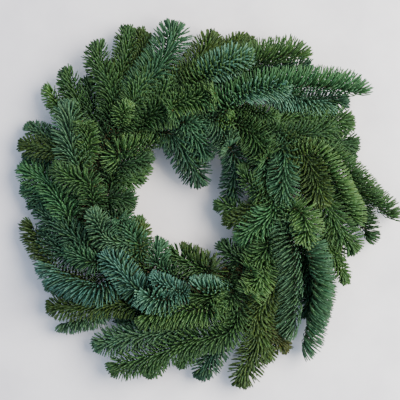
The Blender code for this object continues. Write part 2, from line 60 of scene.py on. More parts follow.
# Straw ring and wire, as constructed
RING_RADIUS = 107.5
ROLL_RADIUS = 17.5
ROLL_HEIGHT = 16.0
ROLL_SIDES = 8
FLAT_EDGE = 180 - math.degrees(math.acos(ROLL_HEIGHT / ROLL_RADIUS))
GROOVE_DEPTH = 2.7
TURNS = 19
PITCH = 360 / TURNS
FIRST_GROOVE = -15.8
WIRE_RADIUS = 0.6
WIRE_IN_GROOVE = ROLL_RADIUS - GROOVE_DEPTH + 1.15
WIRE_OVER_STEMS = ROLL_RADIUS + 8.2
WIRE_OVER = 60
WIRE_TOP = ((60, WIRE_OVER_STEMS - 4), (42, WIRE_OVER_STEMS), (14, WIRE_OVER_STEMS),
            (-14, WIRE_OVER_STEMS), (-42, WIRE_OVER_STEMS), (-60, WIRE_OVER_STEMS - 4))

# Stems and how twigs part, as constructed
SEATS = (42, 0, -42)
STEM_ON_RING = ROLL_RADIUS + 2.5
STEM_RISE = 9.0
ROOT_LENGTH = 12.0
RISE_START = 0.5
START_LIFT = 0.3
RISE_END = 0.66
END_SHARE = 0.75
STEM_RADIUS = 2.0
SIDE_RADIUS = 1.3
PATH_STEP = 6.0
CURVE_CUTS = 12
FINE_STEP = 2.5
FIXED_SAMPLES = 4
TIP_NEEDLES = 8.0
TWIG_SPACING = 8.2
WIRE_SPACING = 5.2
LOWEST_TWIG = 6.0
ROUNDS = 160
PAIR_REACH = 25.0
FORK_SAMPLES = 3
PUSH = 0.5
FLAT_SHARE = 0.45
LEAST_LIFT = 0.6
STIFFNESS = 0.4

SEED = 24

# Where needles sit along a shoot: close where the shoot is seen, wider apart below, where they are also
# tinted darker as painted shade of the sprays above, drawn together into ranks, which loosen near the tip,
# and crowded in a rosette at the very tip.
# A comb is a shoot whose needles all lean to one side
NEEDLE_GAP = 0.37
HIDDEN_GAP = 0.75
SEEN_BEFORE = 26.0
SEEN_FADE = 20.0
BARE_STEM = 26.0
BARE_FORK = 2.0
RANK = 4.0
RANKED = 0.35
COMB_RANKED = 0.45
TIP_ZONE = 13.0
TIP_UNRANKED = 0.7
ROSETTE = 7.0
ROSETTE_NEEDLES = 24
GOLDEN_TURN = math.radians(137.5)
TURN_NOISE = 0.08
PLACE_NOISE = 0.15

# The ways that a needle's inner and outer parts point: the share of its turn round the twig that
# it fans out to, how much less on a comb, how far it leans ahead, how much more on top, and noise
INNER_WAY = (0.8, 0.15, 0.12, 0.8, 0.03)
OUTER_WAY = (0.46, 0.55, 0.28, 0.5, 0.035)
INNER_SHARE = 0.42
OUTER_SHARE = 0.58
BRUSH_ANGLE = 64.0
COMB_UPRIGHT = 0.7
COMB_TIP = 0.4
TIP_AHEAD = 0.9
TIP_CLOSED = 0.35

# A needle's length, as a share of its shoot's width, and its section
FULL_SHARE = 0.67
COMB_FULL = 0.1
LONGEST_NEEDLE = 29.0
SHORTEST_NEEDLE = 12.0
MEAN_LENGTH = 0.95
LENGTH_NOISE = 0.03
TOP_SHORTER = 0.12
TIP_SHORTER = 0.36
FIRST_LENGTH = 0.75
FIRST_ZONE = 20.0
ROOT_PLACE = 0.7
NEEDLE_WIDTH = 1.8
NEEDLE_THICKNESS = 0.9
NEEDLE_SECTION = ((-0.5, 0.35), (0.5, 0.35), (0.0, -0.65))
NEEDLE_SIDES = len(NEEDLE_SECTION)
NEEDLE_STATIONS = (0.0, 0.3, 0.62, 0.93)
NEEDLE_TAPER = (0.7, 1.0, 1.0, 0.85)
FACING_OUT = 0.5
FACING_NOISE = 0.2
NEEDLE_CLEAR = 0.6
LOWEST_NEEDLE = 0.8
LOWEST_CORNER = 0.3

# Twigs and buds
TWIG_STEP = 4.0
TWIG_SIDES = 8
THIN_TIP = 0.7
BARK_ROUGH = 0.06
BUD_SIZE = 2.4
BUD_PLACES = (0.0, 0.25, 0.6, 0.85, 1.0)
BUD_RADII = (0.25, 0.36, 0.3, 0.15, 0.03)
BUDS = ((0, 1.0), (0.9, 0.7), (-0.9, 0.7))
BUD_SUNK = 0.6
BUD_APART = 0.8
BUD_SIDES = 8
BUD_NOISE = 0.1
BUD_ROUGH = 0.05

# The roll and its straws; a straw's length and slant are in degrees round the ring and the section
ROLL_ROWS = 12 * TURNS
ROLL_CORNERS = 28
ROLL_UNDER = 0.9
ROLL_TINT = 0.55
GROOVE_SPREAD = 1.5
STRAWS = 520
STRAW_CLEAR = 1.0
STRAW_LENGTHS = (12, 34)
STRAW_SLANT = 28
STRAW_POINTS = 9
STRAW_SIDES = 4
STRAW_RADII = (0.4, 0.75)
STRAW_TINTS = (0.62, 1.1)
STRAW_LIFT = 0.15
LIFT_RANGE = 0.75
WIRE_STEP = 1.6
WIRE_SIDES = 8
CLOSING_SAMPLES = 40

# Surface, light and camera; the camera's frame is 400 pixels of 1.15 mm, VIEW_PLANE above the surface
FLOOR_SIZE = 6.0
SHADE_REACH = 0.3
WORLD_COLOUR = (0.64, 0.78, 1.0)
WORLD_STRENGTH = 1.12
KEY_CLOCK = 75.0
KEY_RISE = 52.0
KEY_DISTANCE = 2.0
KEY_SIZE = 1.7
KEY_POWER = 108.0
KEY_COLOUR = (1.0, 0.93, 0.84)
VIEW_CENTRE = (18.4, 2.3)
VIEW_PLANE = 45.0
VIEW_WIDTH = 0.46
CAMERA_HEIGHT = 1.5
SENSOR_WIDTH = 36.0

# Tones: sRGB colours of a needle's root, middle and tip; the darker root is partly the needle's own colour,
# partly painted shade at the twig
TONES = {
    "blue": ((16, 40, 24), (43, 79, 63), (66, 104, 91)),
    "pale": ((24, 54, 32), (60, 102, 75), (90, 129, 107)),
    "ice": ((36, 63, 46), (81, 115, 99), (116, 142, 129)),
    "teal": ((14, 38, 16), (33, 70, 43), (56, 90, 61)),
    "green": ((13, 36, 8), (33, 65, 23), (56, 85, 41)),
    "fresh": ((16, 45, 15), (43, 84, 44), (67, 108, 65)),
    "bright": ((24, 51, 11), (54, 91, 38), (81, 110, 59)),
    "lime": ((20, 44, 10), (44, 77, 26), (64, 92, 44)),
    "yellow": ((33, 57, 11), (67, 104, 35), (88, 121, 64)),
    "olive": ((16, 32, 4), (36, 56, 13), (56, 74, 22)),
    "brown": ((26, 30, 7), (47, 54, 15), (66, 67, 24)),
    "dark": ((6, 23, 6), (19, 46, 17), (37, 66, 30)),
    "deep": ((6, 25, 13), (19, 49, 30), (37, 68, 48)),
    "grey": ((20, 43, 26), (45, 77, 50), (68, 99, 69)),
}
# painted shade: the dark tone given to needles where their shoot lies hidden under other sprays
PAINTED_SHADE_TONE = "dark"
ODD_TONE = "lime"
ODD_SHARE = 0.1
ODD_BLEND = 0.5
BRIGHT_NOISE = 0.15
WARM_NOISE = 0.06
DARKEST = 0.002
LIGHTEST = 0.9


def shoot(width, tone, brush, *places):
    """One shoot: its width in millimetres, its tone, the side its needles lean to, and its places.

    A brush of -1 leans to the left of the way the twig grows, 1 to the right and 0 straight up.
    """
    return {"width": width, "tone": tone, "brush": brush,
            "places": [np.array(place, float) for place in places]}


# The sprays, three to each turn of the wire: outer, top, inner
SPRAYS = [
    # turn 1
    [shoot(16, "green", 0, (71, 103, 46), (90, 100, 58), (113, 93, 62))],
    [shoot(44, "fresh", -0.8, (53, 114, 58), (82, 126, 64), (120, 131, 62), (166, 132, 50), (207, 126, 34)),
     shoot(28, "pale", 0.8, (113, 120, 50), (145, 114, 44), (174, 107, 32))],
    [shoot(32, "grey", 0, (34, 97, 50), (45, 76, 56), (49, 64, 66), (52, 61, 82)),
     shoot(14, "yellow", 0, (52, 90, 62), (56, 108, 70))],
    # turn 2
    [shoot(30, "dark", 0, (92, 80, 52), (133, 77, 48), (174, 87, 36))],
    [shoot(34, "green", 0, (78, 76, 58), (89, 57, 64), (93, 51, 74), (94, 48, 86))],
    [shoot(26, "deep", 0.2, (55, 60, 50), (60, 41, 46), (56, 16, 36), (55, -3, 28))],
    # turn 3
    [shoot(34, "green", 0, (116, 69, 46), (137, 76, 46), (175, 90, 38), (195, 89, 26)),
     shoot(32, "dark", 0, (156, 72, 38), (182, 68, 30), (202, 67, 20))],
    [shoot(30, "olive", 0.3, (133, 57, 58), (146, 34, 60), (152, 16, 60), (160, -5, 56))],
    [shoot(32, "teal", 0, (114, 60, 58), (113, 28, 62), (115, -6, 58))],
    # turn 4
    [shoot(32, "green", -0.9, (154, 60, 42), (176, 45, 40), (198, 24, 34), (218, 2, 26), (246, -21, 18)),
     shoot(30, "dark", -0.9, (193, 18, 26), (200, -3, 22), (209, -26, 18), (218, -48, 14))],
    [shoot(30, "bright", -0.9, (147, 57, 54), (169, 32, 54), (185, 3, 46), (201, -26, 36))],
    [shoot(23, "olive", 0, (101, 7, 48), (82, -7, 46), (60, -22, 40), (44, -20, 34)),
     shoot(25, "green", 0, (90, 7, 54), (76, 23, 58), (63, 43, 54)),
     shoot(34, "fresh", 0, (105, -9, 54), (87, -25, 50), (64, -47, 40))],
    # turn 5
    [shoot(34, "green", 0, (162, -3, 48), (179, -32, 42), (200, -55, 28)),
     shoot(18, "lime", 0, (166, -51, 34), (181, -76, 28), (191, -98, 18))],
    [shoot(40, "grey", 0.9, (120, -44, 60), (126, -78, 56), (126, -113, 46), (126, -152, 32))],
    [shoot(34, "bright", 0, (132, -10, 62), (140, -31, 68), (133, -49, 72))],
    # turn 6
    [shoot(32, "dark", 0, (147, -69, 26), (159, -101, 18), (154, -130, 14))],
    [shoot(40, "teal", -0.85, (137, -47, 58), (148, -76, 54), (151, -103, 46), (144, -141, 34),
           (137, -175, 22))],
    [shoot(34, "green", 0, (97, -49, 54), (83, -69, 58), (77, -76, 66), (76, -78, 80))],
    # turn 7
    [shoot(30, "olive", 0, (101, -99, 46), (90, -118, 46), (74, -152, 40))],
    [shoot(32, "bright", 0, (90, -80, 60), (79, -98, 64), (76, -103, 72), (75, -106, 86))],
    [shoot(28, "dark", 0, (72, -69, 46), (55, -59, 42), (40, -49, 34))],
    # turn 8
    [shoot(34, "olive", 0, (85, -133, 42), (87, -159, 36), (76, -184, 28), (64, -214, 18)),
     shoot(25, "brown", 0, (97, -147, 34), (108, -160, 28), (122, -174, 20))],
    [shoot(31, "green", -0.3, (55, -147, 54), (10, -159, 52), (-39, -179, 40), (-87, -194, 24)),
     shoot(17, "green", 0, (7, -177, 34), (-10, -194, 24)),
     shoot(21, "green", 0, (-33, -192, 30), (-47, -204, 20))],
    [shoot(25, "green", 0, (55, -108, 56), (40, -121, 58), (34, -124, 66), (33, -125, 80)),
     shoot(25, "pale", 0.8, (47, -100, 52), (25, -98, 54), (6, -93, 52))],
    # turn 9
    [shoot(29, "deep", 0, (51, -141, 42), (43, -161, 38), (30, -182, 28), (17, -206, 16))],
    [shoot(30, "bright", -0.8, (32, -122, 60), (-10, -126, 58), (-53, -135, 48))],
    [shoot(30, "olive", 0.7, (33, -77, 48), (14, -69, 46), (-7, -55, 40))],
    # turn 10
    [shoot(30, "grey", 0, (1, -144, 42), (-45, -152, 40), (-74, -159, 32), (-106, -167, 20))],
    [shoot(21, "blue", 0, (-7, -101, 60), (-25, -92, 64), (-41, -80, 66)),
     shoot(30, "pale", -0.6, (-24, -112, 64), (-39, -108, 68), (-56, -106, 70))],
    [shoot(30, "teal", 0, (-31, -71, 50), (-30, -54, 46), (-26, -45, 38))],
    # turn 11
    [shoot(28, "olive", 0, (-79, -117, 46), (-120, -121, 38), (-160, -122, 22)),
     shoot(24, "grey", -0.8, (-101, -132, 30), (-125, -139, 22), (-151, -145, 14))],
    [shoot(32, "blue", 0, (-51, -101, 58), (-71, -78, 60), (-92, -57, 58))],
    [shoot(32, "olive", 0, (-55, -63, 46), (-53, -44, 42), (-45, -24, 36))],
    # turn 12
    [shoot(28, "olive", -0.7, (-126, -86, 34), (-153, -76, 36), (-167, -53, 30), (-185, -21, 20))],
    [shoot(34, "blue", -0.7, (-100, -100, 54), (-131, -90, 48), (-163, -70, 32)),
     shoot(18, "dark", 0, (-124, -103, 38), (-143, -100, 30), (-164, -91, 20))],
    [shoot(28, "teal", 0, (-51, -55, 54), (-69, -30, 58), (-75, -21, 66), (-76, -17, 80)),
     shoot(25, "grey", 0, (-89, -44, 58), (-98, -25, 62), (-107, -6, 60))],
    # turn 13
    [shoot(30, "deep", 0, (-120, -46, 50), (-145, -26, 42), (-169, -5, 28))],
    [shoot(25, "teal", 0, (-106, -69, 56), (-122, -60, 54), (-139, -52, 48))],
    [shoot(23, "dark", 0, (-78, -30, 44), (-69, -14, 40), (-64, 0, 34))],
    # turn 14
    [shoot(32, "fresh", 0, (-143, 2, 44), (-154, 21, 38), (-171, 30, 30), (-191, 41, 20)),
     shoot(28, "deep", 0, (-145, -8, 34), (-161, -5, 26), (-182, -1, 18))],
    [shoot(28, "green", 0, (-108, 21, 62), (-125, 25, 64), (-138, 32, 62), (-148, 43, 56))],
    [shoot(32, "dark", 0, (-91, 5, 48), (-74, 3, 44), (-57, 2, 36))],
    # turn 15
    [shoot(28, "olive", 0, (-140, 60, 44), (-166, 63, 34), (-192, 67, 22)),
     shoot(23, "grey", 0, (-147, 72, 36), (-166, 80, 28), (-187, 89, 18))],
    [shoot(34, "grey", 0, (-129, 60, 58), (-131, 85, 56), (-133, 115, 48)),
     shoot(25, "lime", 0, (-109, 62, 60), (-113, 85, 66), (-114, 90, 74), (-114, 92, 86))],
    [shoot(30, "dark", 0, (-76, 41, 48), (-56, 48, 44), (-38, 56, 36)),
     shoot(30, "green", 0, (-79, 25, 42), (-64, 29, 36), (-47, 34, 28))],
    # turn 16
    [shoot(28, "green", -0.5, (-118, 103, 46), (-125, 120, 40), (-137, 155, 26)),
     shoot(23, "yellow", -0.4, (-139, 103, 32), (-150, 118, 28), (-162, 137, 20))],
    [shoot(29, "green", -0.4, (-82, 120, 52), (-92, 145, 46), (-100, 167, 36), (-98, 185, 26)),
     shoot(30, "dark", -0.4, (-106, 99, 44), (-109, 120, 38), (-110, 143, 30))],
    [shoot(30, "bright", -0.9, (-78, 56, 52), (-51, 64, 46), (-23, 74, 36))],
    # turn 17
    [shoot(25, "green", -0.3, (-76, 140, 42), (-69, 168, 34), (-66, 206, 20)),
     shoot(20, "olive", -0.5, (-60, 156, 32), (-52, 182, 26), (-52, 205, 18)),
     shoot(20, "olive", 0, (-51, 163, 38), (-45, 184, 30), (-44, 199, 24))],
    [shoot(30, "green", 0, (-60, 108, 56), (-53, 126, 54), (-48, 147, 48)),
     shoot(23, "bright", 0, (-71, 97, 62), (-66, 107, 66), (-59, 117, 68))],
    [shoot(34, "green", 0, (-44, 98, 54), (-21, 102, 60), (-14, 103, 68), (-12, 103, 82))],
    # turn 18
    [shoot(40, "teal", 0, (-56, 123, 50), (-30, 156, 50), (-15, 184, 42), (-14, 204, 26))],
    [shoot(30, "bright", 0, (-5, 114, 56), (25, 120, 62), (33, 122, 70), (36, 123, 84)),
     shoot(30, "deep", 0, (-14, 122, 48), (-1, 140, 44), (12, 159, 38))],
    [shoot(33, "deep", 0, (-15, 78, 50), (2, 52, 40), (22, 21, 24)),
     shoot(21, "dark", 0, (0, 71, 38), (9, 57, 34), (17, 43, 28))],
    # turn 19
    [shoot(34, "olive", 0, (7, 146, 46), (24, 172, 36), (36, 194, 22)),
     shoot(23, "olive", 0, (41, 168, 34), (62, 179, 28), (84, 189, 18))],
    [shoot(40, "lime", -0.8, (25, 145, 56), (55, 154, 58), (83, 162, 54), (113, 168, 42), (138, 170, 28))],
    [shoot(25, "teal", 0, (-1, 92, 52), (18, 90, 50), (37, 82, 44))],
]

# Further side shoots, which fill the wreath: the number of the spray and the shoot
SIDE_SHOOTS = [
    (2, shoot(34, "pale", 0, (62, 120, 68), (90, 128, 72), (120, 130, 68))),
    (2, shoot(30, "deep", 0, (124, 115, 42), (159, 117, 34), (191, 118, 26))),
    (4, shoot(32, "green", 0, (115, 94, 44), (140, 97, 42), (168, 103, 34))),
    (7, shoot(23, "dark", 0, (172, 64, 34), (186, 57, 28), (200, 48, 20))),
    (8, shoot(32, "dark", 0, (140, 48, 44), (152, 25, 44), (159, -2, 40))),
    (10, shoot(25, "deep", 0, (168, 25, 30), (189, -2, 26), (202, -28, 18))),
    (12, shoot(32, "teal", 0, (90, 48, 54), (90, 25, 52), (85, -2, 46))),
    (12, shoot(25, "green", 0, (69, -14, 38), (54, -6, 36), (34, -2, 30))),
    (13, shoot(23, "green", 0, (170, -34, 32), (177, -55, 26), (182, -76, 18))),
    (14, shoot(34, "teal", 0.9, (115, -28, 42), (112, -61, 44), (110, -101, 36))),
    (16, shoot(25, "deep", 0, (140, -69, 28), (147, -103, 22), (143, -138, 14))),
    (17, shoot(30, "teal", -0.9, (152, -78, 38), (155, -110, 32), (148, -150, 22))),
    (19, shoot(32, "olive", 0, (108, -95, 34), (110, -126, 30), (106, -159, 22))),
    (22, shoot(30, "olive", 0, (90, -156, 30), (95, -172, 24), (98, -186, 18))),
    (24, shoot(34, "green", 0, (51, -113, 50), (28, -109, 50), (5, -113, 44))),
    (27, shoot(34, "green", 0, (23, -78, 42), (0, -69, 42), (-20, -57, 38))),
    (28, shoot(23, "deep", 0, (-28, -136, 34), (-53, -135, 28), (-83, -135, 20))),
    (33, shoot(25, "green", 0, (-53, -48, 42), (-52, -34, 38), (-55, -15, 32))),
    (34, shoot(25, "grey", 0, (-136, -97, 32), (-150, -94, 26), (-163, -99, 18))),
    (37, shoot(32, "deep", 0, (-133, -60, 42), (-150, -48, 38), (-164, -30, 30))),
    (39, shoot(25, "deep", 0, (-83, -14, 40), (-74, 2, 36), (-62, 9, 28))),
    (40, shoot(30, "teal", 0, (-154, 5, 32), (-170, 12, 26), (-190, 17, 20))),
    (43, shoot(23, "deep", 0, (-154, 51, 32), (-170, 51, 26), (-189, 53, 18))),
    (45, shoot(25, "green", 0, (-67, 25, 38), (-53, 34, 34), (-39, 44, 28))),
    (49, shoot(28, "olive", 0, (-69, 110, 44), (-78, 136, 40), (-87, 163, 30))),
    (50, shoot(32, "green", 0, (-53, 103, 50), (-44, 133, 50), (-37, 166, 40))),
    (51, shoot(30, "green", 0, (-39, 103, 54), (-25, 124, 56), (-14, 143, 50))),
    (53, shoot(30, "teal", 0, (2, 122, 46), (23, 138, 44), (48, 147, 40))),
    (55, shoot(23, "olive", 0, (44, 175, 32), (60, 185, 26), (76, 194, 18))),
    (56, shoot(34, "pale", 0, (23, 147, 60), (47, 158, 64), (78, 168, 60))),
    (56, shoot(34, "deep", -0.4, (32, 133, 46), (76, 145, 44), (115, 152, 38), (146, 154, 32))),
    (57, shoot(32, "teal", 0, (12, 76, 48), (20, 62, 44), (25, 48, 38))),
]


def clock_point(clock, around, reach):
    """The point at a distance from the middle of the roll, at one clock angle of the ring."""
    turn = math.radians(clock)
    lean = math.radians(around)
    radius = RING_RADIUS + reach * math.sin(lean)
    height = ROLL_HEIGHT + reach * math.cos(lean)
    return np.array((radius * math.sin(turn), radius * math.cos(turn), height))


def unit(vector):
    return vector / np.linalg.norm(vector)


def smooth_line(points, step):
    """A smooth curve through the points, cut into equal steps of about the given length."""
    points = np.array(points)
    ends = np.vstack((2 * points[0] - points[1], points, 2 * points[-1] - points[-2]))
    knots = np.concatenate(((0,), np.cumsum(np.linalg.norm(np.diff(ends, axis=0), axis=1) ** 0.5)))
    dense = []
    for i in range(1, len(ends) - 2):
        for t in np.linspace(knots[i], knots[i + 1], CURVE_CUTS, endpoint=False):
            dense.append(on_curve(ends[i - 1:i + 3], knots[i - 1:i + 3], t))
    dense.append(ends[-2])
    return even_steps(np.array(dense), step)


def on_curve(p, k, t):
    """A point of the centripetal curve through p[1] and p[2], at the value t."""
    a = [(k[i + 1] - t) / (k[i + 1] - k[i]) * p[i] + (t - k[i]) / (k[i + 1] - k[i]) * p[i + 1]
         for i in range(3)]
    b = [(k[i + 2] - t) / (k[i + 2] - k[i]) * a[i] + (t - k[i]) / (k[i + 2] - k[i]) * a[i + 1]
         for i in range(2)]
    return (k[2] - t) / (k[2] - k[1]) * b[0] + (t - k[1]) / (k[2] - k[1]) * b[1]


def lengths_along(line):
    return np.concatenate(((0,), np.cumsum(np.linalg.norm(np.diff(line, axis=0), axis=1))))


def at_lengths(line, lengths):
    along = lengths_along(line)
    return np.stack([np.interp(lengths, along, line[:, axis]) for axis in range(3)], axis=1)


def even_steps(line, step):
    total = lengths_along(line)[-1]
    return at_lengths(line, np.linspace(0, total, max(2, round(total / step)) + 1))


def shoot_line(places):
    """The line of a twig, which ends short of the last place because its needles reach past it."""
    line = smooth_line(places, 1.0)
    total = lengths_along(line)[-1] - TIP_NEEDLES
    return at_lengths(line, np.linspace(0, total, round(total / PATH_STEP) + 1))


def wire_line():
    """The closed line of the wire: over the stems to the next groove, then round under the ring."""
    corners = np.linspace(-FLAT_EDGE, FLAT_EDGE, ROLL_SIDES)[::-1]
    under = [a for a in corners if a < -WIRE_OVER] + [a for a in corners if a > WIRE_OVER]
    points = []
    for turn in range(TURNS):
        groove = FIRST_GROOVE + turn * PITCH
        for around, reach in WIRE_TOP:
            share = (WIRE_OVER - around) / (2 * WIRE_OVER)
            points.append(clock_point(groove + share * PITCH, around, reach))
        for around in under:
            points.append(clock_point(groove + PITCH, around, WIRE_IN_GROOVE))
    return np.array(points)


def stem_places(turn, seat):
    """The stem's places on the ring: its cut end, under the wire, and where it rises."""
    share = (WIRE_OVER - seat) / (2 * WIRE_OVER)
    crossing = FIRST_GROOVE + (turn + share) * PITCH
    radius = RING_RADIUS + STEM_ON_RING * math.sin(math.radians(seat))
    degree = math.degrees(1 / radius)
    return [clock_point(crossing - ROOT_LENGTH * degree, seat, STEM_ON_RING),
            clock_point(crossing, seat, STEM_ON_RING),
            clock_point(crossing + RISE_START * ROOT_LENGTH * degree, seat, STEM_ON_RING + START_LIFT),
            clock_point(crossing + RISE_END * PITCH, seat, STEM_ON_RING + END_SHARE * STEM_RISE)]


def fork_index(line, place):
    """Where on a shoot's line a side shoot leaves it, to lean about 45 degrees forward."""
    gaps = np.linalg.norm(line - place, axis=1)
    nearest = int(np.argmin(gaps))
    back = int(round(gaps[nearest] / PATH_STEP))
    return max(FIXED_SAMPLES + 1, nearest - back)


def first_lines():
    """Every shoot as drawn: a dictionary with its spray, width, line, and fork on the first shoot."""
    shoots = []
    for number, spray in enumerate(SPRAYS):
        stem = stem_places(number // len(SEATS), SEATS[number % len(SEATS)])
        main = shoot_line(stem + spray[0]["places"])
        first = len(shoots)
        shoots.append(dict(spray[0], spray=number, line=main, fork=None,
                           base=spray[0]["places"][0]))
        for side in spray[1:]:
            fork = fork_index(main, side["places"][0])
            line = shoot_line([main[fork]] + side["places"])
            shoots.append(dict(side, spray=number, line=line, fork=(first, fork), base=line[0]))
    return shoots


def roll_gap(points):
    """How far each point is outside the straw roll, and the way straight out of it."""
    radius = np.hypot(points[:, 0], points[:, 1])
    out = np.stack((radius - RING_RADIUS, points[:, 2] - ROLL_HEIGHT), axis=1)
    reach = np.linalg.norm(out, axis=1)
    way = out / np.maximum(reach, 1e-6)[:, None]
    flat = points[:, :2] / radius[:, None]
    return reach - ROLL_RADIUS, np.column_stack((flat * way[:, :1], way[:, 1]))


def part_lines(shoots, wire):
    """Bends the twigs apart, mostly up and down, until each has room, and keeps them smooth."""
    sizes = [len(s["line"]) for s in shoots]
    starts = np.concatenate(((0,), np.cumsum(sizes)))
    drawn = np.vstack([s["line"] for s in shoots])
    owner = np.repeat(np.arange(len(shoots)), sizes)
    index = np.concatenate([np.arange(n) for n in sizes])
    stem = np.array([s["fork"] is None for s in shoots])[owner]
    fixed = stem & (index < FIXED_SAMPLES)
    pairs = close_pairs(drawn, owner, index, stem, np.array([s["spray"] for s in shoots])[owner])
    shift = np.zeros_like(drawn)
    for _ in range(ROUNDS):
        points = drawn + shift
        push = crowd_push(points, pairs) + wire_push(points, wire) + bounds_push(points)
        push[fixed] = 0
        shift += push
        for number, s in enumerate(shoots):
            part = slice(starts[number], starts[number + 1])
            shift[part] = smoothed(shift[part])
            if s["fork"]:
                main, fork = s["fork"]
                pulled = shift[starts[main] + fork] - shift[part][0]
                shift[part] += np.linspace(1, 0, sizes[number])[:, None] ** 3 * pulled
        shift[fixed] = 0
    for number, s in enumerate(shoots):
        s["line"] = (drawn + shift)[starts[number]:starts[number + 1]]


def close_pairs(points, owner, index, stem, spray):
    """Pairs of samples that may come too near, apart from those of one twig or at a fork."""
    flat = points[:, :2].astype(np.float32)
    near = np.abs(flat[:, None, :] - flat[None, :, :]).max(axis=2) < PAIR_REACH
    by_fork = ~stem & (index < FORK_SAMPLES)
    kin = spray[:, None] == spray[None, :]
    near &= owner[:, None] < owner[None, :]
    near &= ~(kin & (by_fork[:, None] | by_fork[None, :]))
    return np.nonzero(near)


def smoothed(shift):
    """Evens out how far neighbouring samples of a twig have moved, so that it bends gently."""
    inner = (1 - STIFFNESS) * shift[1:-1] + STIFFNESS / 2 * (shift[:-2] + shift[2:])
    ends = (1 - STIFFNESS) * shift[-1:] + STIFFNESS * shift[-2:-1]
    return np.vstack((shift[:1], inner, ends))


def crowd_push(points, pairs):
    """Moves each pair of samples that are too near apart by part of what they lack, mostly in z."""
    low, high = pairs
    apart = points[high] - points[low]
    lack = np.maximum(0, TWIG_SPACING - np.linalg.norm(apart, axis=1))
    close = lack > 0
    low, high, apart, lack = low[close], high[close], apart[close], lack[close]
    apart[:, 2] += np.where(apart[:, 2] < 0, -LEAST_LIFT, LEAST_LIFT)
    apart[:, :2] *= FLAT_SHARE
    way = apart / np.linalg.norm(apart, axis=1)[:, None]
    count = np.bincount(low, minlength=len(points)) + np.bincount(high, minlength=len(points))
    push = np.zeros_like(points)
    for axis in range(3):
        part = lack * way[:, axis]
        push[:, axis] = (np.bincount(high, part, len(points)) - np.bincount(low, part, len(points)))
    return PUSH * push / np.maximum(1, count / 2)[:, None]


def wire_push(points, wire):
    """Lifts each sample that is too near the wire over it."""
    apart = points[:, None, :] - wire[None, :, :]
    distance = np.linalg.norm(apart, axis=2)
    nearest = np.argmin(distance, axis=1)
    rows = np.arange(len(points))
    lack = np.maximum(0, WIRE_SPACING - distance[rows, nearest])
    way = apart[rows, nearest]
    way[:, 2] = np.abs(way[:, 2]) + LEAST_LIFT
    return PUSH * lack[:, None] * way / np.linalg.norm(way, axis=1)[:, None]


def bounds_push(points):
    """Moves samples out of the straw roll and off the ground."""
    gap, way = roll_gap(points)
    lack = np.maximum(0, STEM_ON_RING - ROLL_RADIUS - gap)
    push = lack[:, None] * way
    push[:, 2] += np.maximum(0, LOWEST_TWIG - points[:, 2])
    return push


def unit_rows(vectors):
    return vectors / np.maximum(np.linalg.norm(vectors, axis=-1, keepdims=True), 1e-9)


def carried_frames(line):
    """Forward, dorsal and sideways directions along a twig, the dorsal one carried without twist."""
    forward = unit_rows(np.gradient(line, axis=0))
    dorsal = np.zeros_like(forward)
    last = np.array((0.0, 0.0, 1.0))
    for number, ahead in enumerate(forward):
        last = unit(last - ahead * np.dot(last, ahead))
        dorsal[number] = last
    return forward, dorsal, np.cross(forward, dorsal)


def sampled(values, along, lengths):
    """Rows of values, known at the lengths along, read at other lengths."""
    return np.stack([np.interp(lengths, along, values[:, axis]) for axis in range(3)], axis=1)


def linear(colour):
    """An sRGB colour of 0 to 255 as linear values of 0 to 1."""
    value = np.array(colour, float) / 255
    return np.where(value <= 0.04045, value / 12.92, ((value + 0.055) / 1.055) ** 2.4)


def twig_radius(s, lengths, total):
    root = STEM_RADIUS if s["fork"] is None else SIDE_RADIUS
    return root + (THIN_TIP - root) * np.sqrt(lengths / total)


def fanned(turn, up, across):
    return np.cos(turn)[:, None] * up + np.sin(turn)[:, None] * across


def smooth_step(value):
    value = np.clip(value, 0, 1)
    return value * value * (3 - 2 * value)


def near_tip(at, total):
    """0 along most of a shoot, rising to 1 at its tip."""
    return smooth_step((at - (total - TIP_ZONE)) / TIP_ZONE)


def needle_places(first, seen_from, total, comb, rng):
    """How far along the twig each needle sits, and its turn round the twig."""
    at = np.concatenate((np.arange(first, seen_from, HIDDEN_GAP),
                         np.arange(seen_from, total, NEEDLE_GAP),
                         np.linspace(total - ROSETTE, total, ROSETTE_NEEDLES)))
    turn = GOLDEN_TURN * np.arange(len(at)) + rng.normal(0, TURN_NOISE, len(at))
    turn = (turn + math.pi) % (2 * math.pi) - math.pi
    nearest_rank = np.round(at / RANK) * RANK
    held = (RANKED + COMB_RANKED * comb) * (1 - TIP_UNRANKED * near_tip(at, total))
    at = at + held * (nearest_rank - at)
    return np.clip(at + rng.normal(0, PLACE_NOISE, len(at)), 0, total), turn


def needle_way(way, turn, tip, comb, frame, rng):
    """Which way each needle's inner or outer part points."""
    fan, comb_fan, lean_ahead, top_ahead, noise = way
    ahead, up, across = frame
    topmost = np.maximum(0, np.cos(turn))[:, None]
    loose = 1 - COMB_UPRIGHT * comb
    closed = 1 - TIP_CLOSED * tip[:, 0]
    aim = (fanned(fan * (1 - comb_fan * comb) * closed * turn, up, across)
           + (loose * (lean_ahead + top_ahead * topmost) + TIP_AHEAD * tip) * ahead)
    return unit_rows(unit_rows(aim) + rng.normal(0, noise, (len(turn), 3)))


def needle_lengths(width, comb, past_first, turn, tip, rng):
    """Lengths that follow the shoot's width, shorter on top, by the bare stem and at the tip."""
    full = min(LONGEST_NEEDLE, max(SHORTEST_NEEDLE, width * (FULL_SHARE + COMB_FULL * comb)))
    length = full * rng.normal(MEAN_LENGTH, LENGTH_NOISE, len(turn))
    length = length * (1 - TOP_SHORTER * np.cos(turn)) * (1 - TIP_SHORTER * tip)
    return length * (FIRST_LENGTH + (1 - FIRST_LENGTH) * smooth_step(past_first / FIRST_ZONE))


def bent_path(roots, middles, tips):
    """The needles' centre lines at their stations, from root to tip and bent by way of the middle."""
    share = np.array(NEEDLE_STATIONS + (1.0,))[None, :, None]
    return ((1 - share) ** 2 * roots[:, None, :] + 2 * share * (1 - share) * middles[:, None, :]
            + share ** 2 * tips[:, None, :])


